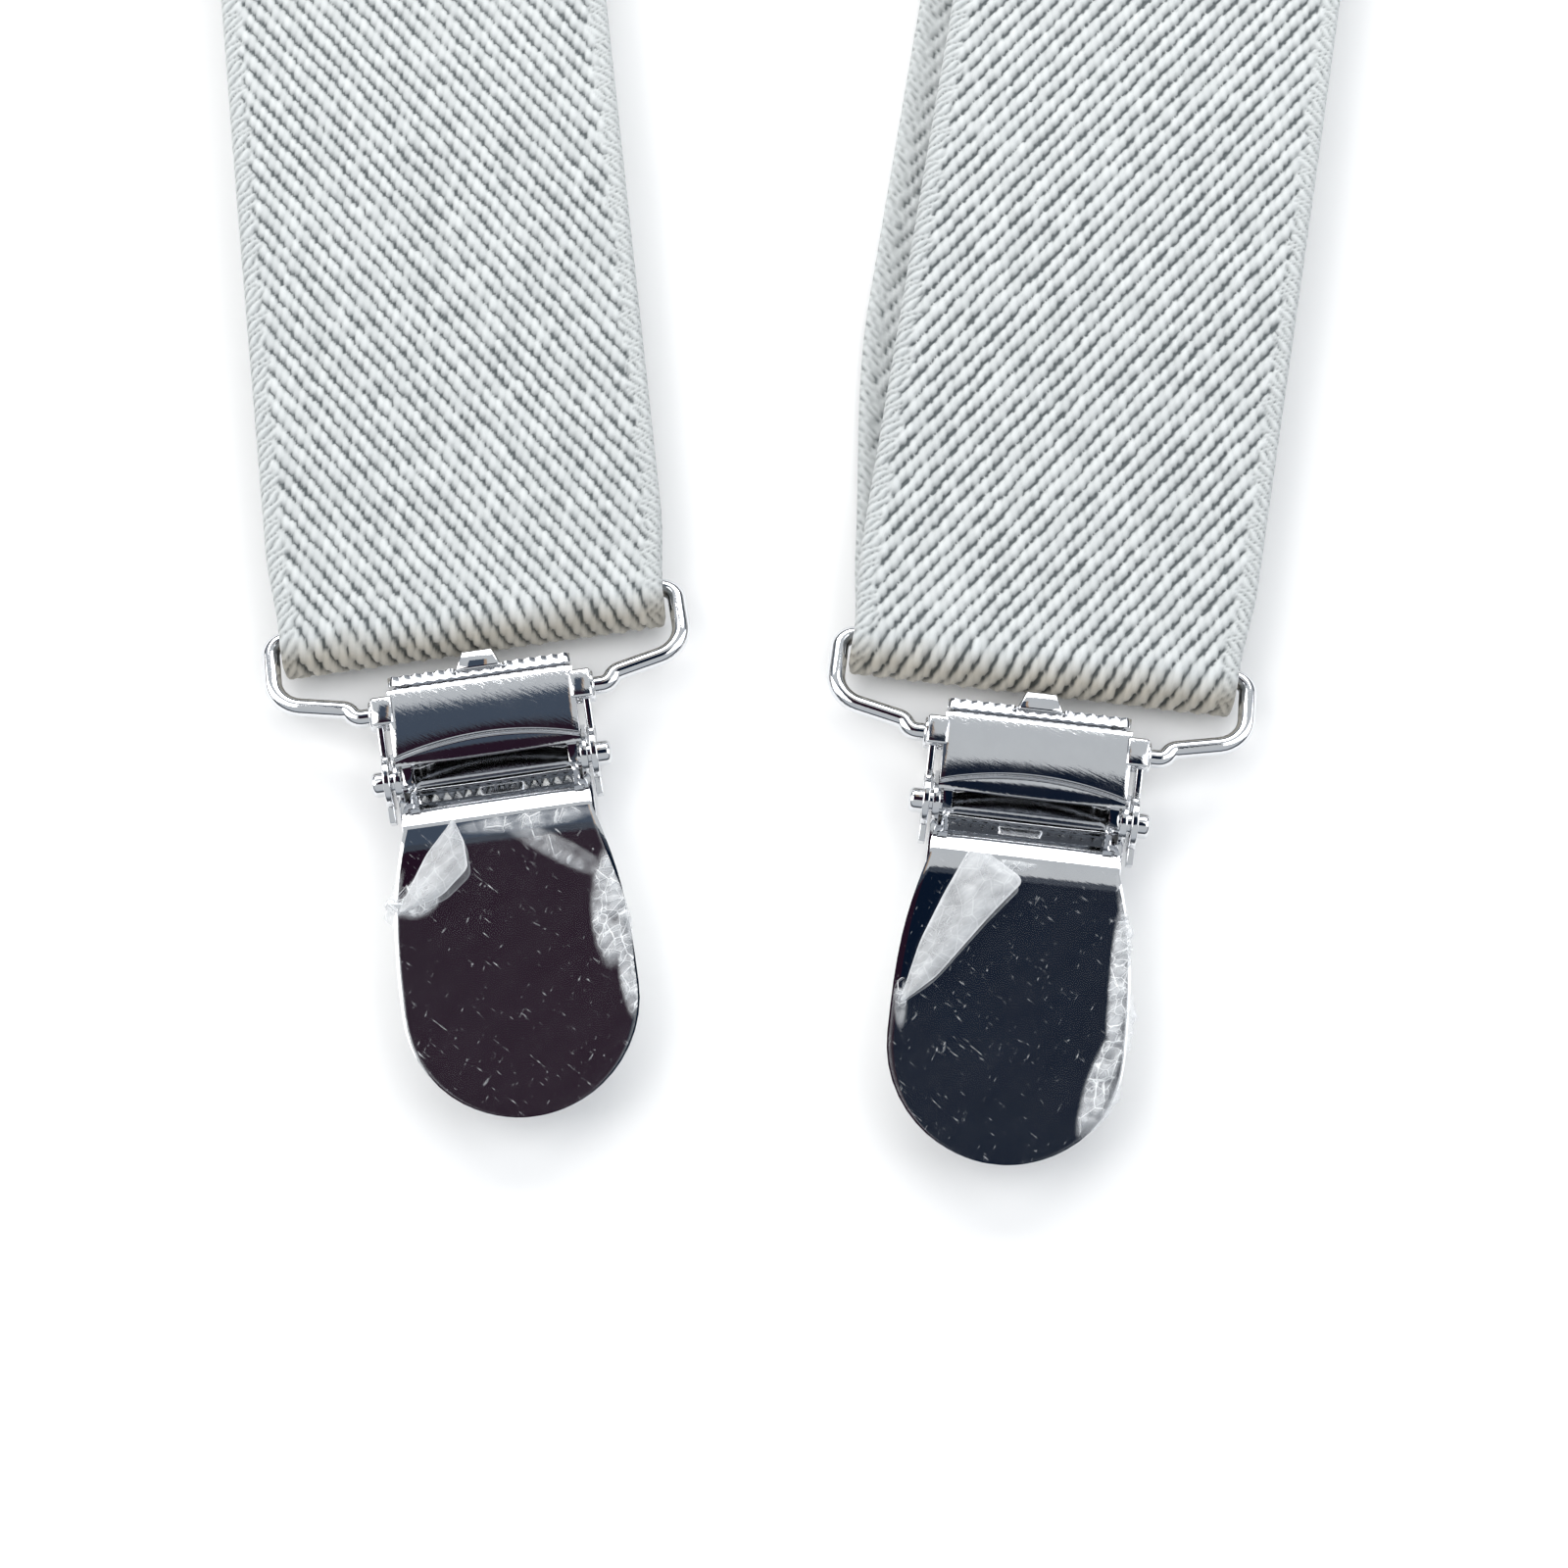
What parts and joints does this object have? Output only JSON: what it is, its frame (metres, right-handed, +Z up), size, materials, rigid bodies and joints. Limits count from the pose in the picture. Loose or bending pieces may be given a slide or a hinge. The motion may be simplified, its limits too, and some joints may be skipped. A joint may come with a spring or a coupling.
{
  "type": "clip suspenders",
  "caption": "Adult Y-back suspenders in grey twill elastic with chromed lever clips on wire bails, wire-framed slides and a leather back patch, laid folded at the shoulders.",
  "frame": {"origin": "middle of the base of the folded suspenders, on the surface that they lie on", "axes": "+Y along the straps from the front clips to the shoulders, +X across, +Z up away from the surface"},
  "size_m": [0.2158, 0.5244, 0.0094],
  "materials": {
    "webbing": "light cool grey polyester twill elastic with rounded selvedges",
    "chrome": "bright nickel-chrome plate with fine handling scratches",
    "film": "thin translucent protective film, creased and lifted at one corner",
    "grip_pad": "milky nylon with cross teeth",
    "leather": "black grained leather, stitched"
  },
  "bodies": {
    "webbing": {"shoulder_strap_left": "webbing", "shoulder_strap_right": "webbing", "back_strap": "webbing", "patch_outer": "leather", "patch_lining": "leather"},
    "left_loop": {"strap_loop_left": "webbing"},
    "left_slide": {"slide_left": "chrome", "strap_end_left": "webbing"},
    "left_bail": {"bail_left": "chrome"},
    "left_lever": {"lever_left": "chrome"},
    "left_cover": {"cover_left": "chrome", "film_left": "film"},
    "left_jaw": {"jaw_left": "chrome", "grip_pad_left": "grip_pad"},
    "right_loop": {"strap_loop_right": "webbing"},
    "right_slide": {"slide_right": "chrome", "strap_end_right": "webbing"},
    "right_bail": {"bail_right": "chrome"},
    "right_lever": {"lever_right": "chrome"},
    "right_cover": {"cover_right": "chrome", "film_right": "film"},
    "right_jaw": {"jaw_right": "chrome", "grip_pad_right": "grip_pad"},
    "back_bail": {"bail_back": "chrome"},
    "back_lever": {"lever_back": "chrome"},
    "back_cover": {"cover_back": "chrome", "film_back": "film"},
    "back_jaw": {"jaw_back": "chrome", "grip_pad_back": "grip_pad"}
  },
  "joints": [
    {"name": "left_length_adjust", "type": "slide", "parent": "webbing", "child": "left_loop", "axis": [-0.1115, 0.9938, 0], "range_m": [-0.04, 0.04], "deforming": ["strap_loop_left"]},
    {"name": "left_slide_travel", "type": "slide", "parent": "left_loop", "child": "left_slide", "axis": [-0.1115, 0.9938, 0], "range_m": [-0.04, 0.04]},
    {"name": "left_bail_swing", "type": "hinge", "parent": "left_loop", "child": "left_bail", "pos_m": [-0.03782, -0.21295, 0.0025], "axis": [-0.9893, -0.1461, 0], "range_deg": [-80, 95]},
    {"name": "left_clip_swivel", "type": "hinge", "parent": "left_bail", "child": "left_lever", "pos_m": [-0.03657, -0.22143, 0.0045], "axis": [0.9893, 0.1461, 0], "range_deg": [-120, 85]},
    {"name": "left_lever_flip", "type": "hinge", "parent": "left_lever", "child": "left_cover", "pos_m": [-0.03572, -0.22716, 0.0034], "axis": [-0.9893, -0.1461, 0], "range_deg": [0, 100]},
    {"name": "left_jaw_open", "type": "hinge", "parent": "left_cover", "child": "left_jaw", "pos_m": [-0.03572, -0.22716, 0.0034], "axis": [0.9893, 0.1461, 0], "range_deg": [0, 25]},
    {"name": "right_length_adjust", "type": "slide", "parent": "webbing", "child": "right_loop", "axis": [0.165, 0.9863, 0], "range_m": [-0.04, 0.04], "deforming": ["strap_loop_right"]},
    {"name": "right_slide_travel", "type": "slide", "parent": "right_loop", "child": "right_slide", "axis": [0.165, 0.9863, 0], "range_m": [-0.04, 0.04]},
    {"name": "right_bail_swing", "type": "hinge", "parent": "right_loop", "child": "right_bail", "pos_m": [0.01255, -0.21682, 0.0025], "axis": [-0.993, 0.1184, 0], "range_deg": [-80, 95]},
    {"name": "right_clip_swivel", "type": "hinge", "parent": "right_bail", "child": "right_lever", "pos_m": [0.01153, -0.22533, 0.0045], "axis": [0.993, -0.1184, 0], "range_deg": [-120, 85]},
    {"name": "right_lever_flip", "type": "hinge", "parent": "right_lever", "child": "right_cover", "pos_m": [0.01084, -0.23109, 0.0034], "axis": [-0.993, 0.1184, 0], "range_deg": [0, 100]},
    {"name": "right_jaw_open", "type": "hinge", "parent": "right_cover", "child": "right_jaw", "pos_m": [0.01084, -0.23109, 0.0034], "axis": [0.993, -0.1184, 0], "range_deg": [0, 25]},
    {"name": "back_bail_swing", "type": "hinge", "parent": "webbing", "child": "back_bail", "pos_m": [-0.00847, -0.06874, 0.0034], "axis": [0.9981, -0.061, 0], "range_deg": [-80, 95]},
    {"name": "back_clip_swivel", "type": "hinge", "parent": "back_bail", "child": "back_lever", "pos_m": [-0.009, -0.07729, 0.0014], "axis": [-0.9981, 0.061, 0], "range_deg": [-120, 85]},
    {"name": "back_lever_flip", "type": "hinge", "parent": "back_lever", "child": "back_cover", "pos_m": [-0.00935, -0.08308, 0.0025], "axis": [0.9981, -0.061, 0], "range_deg": [0, 100]},
    {"name": "back_jaw_open", "type": "hinge", "parent": "back_cover", "child": "back_jaw", "pos_m": [-0.00935, -0.08308, 0.0025], "axis": [-0.9981, 0.061, 0], "range_deg": [0, 25]}
  ],
  "couplings": [
    {"joint": "left_slide_travel", "follows": "left_length_adjust", "ratio": 1},
    {"joint": "left_jaw_open", "follows": "left_lever_flip", "ratio": 0.25},
    {"joint": "right_slide_travel", "follows": "right_length_adjust", "ratio": 1},
    {"joint": "right_jaw_open", "follows": "right_lever_flip", "ratio": 0.25},
    {"joint": "back_jaw_open", "follows": "back_lever_flip", "ratio": 0.25}
  ]
}
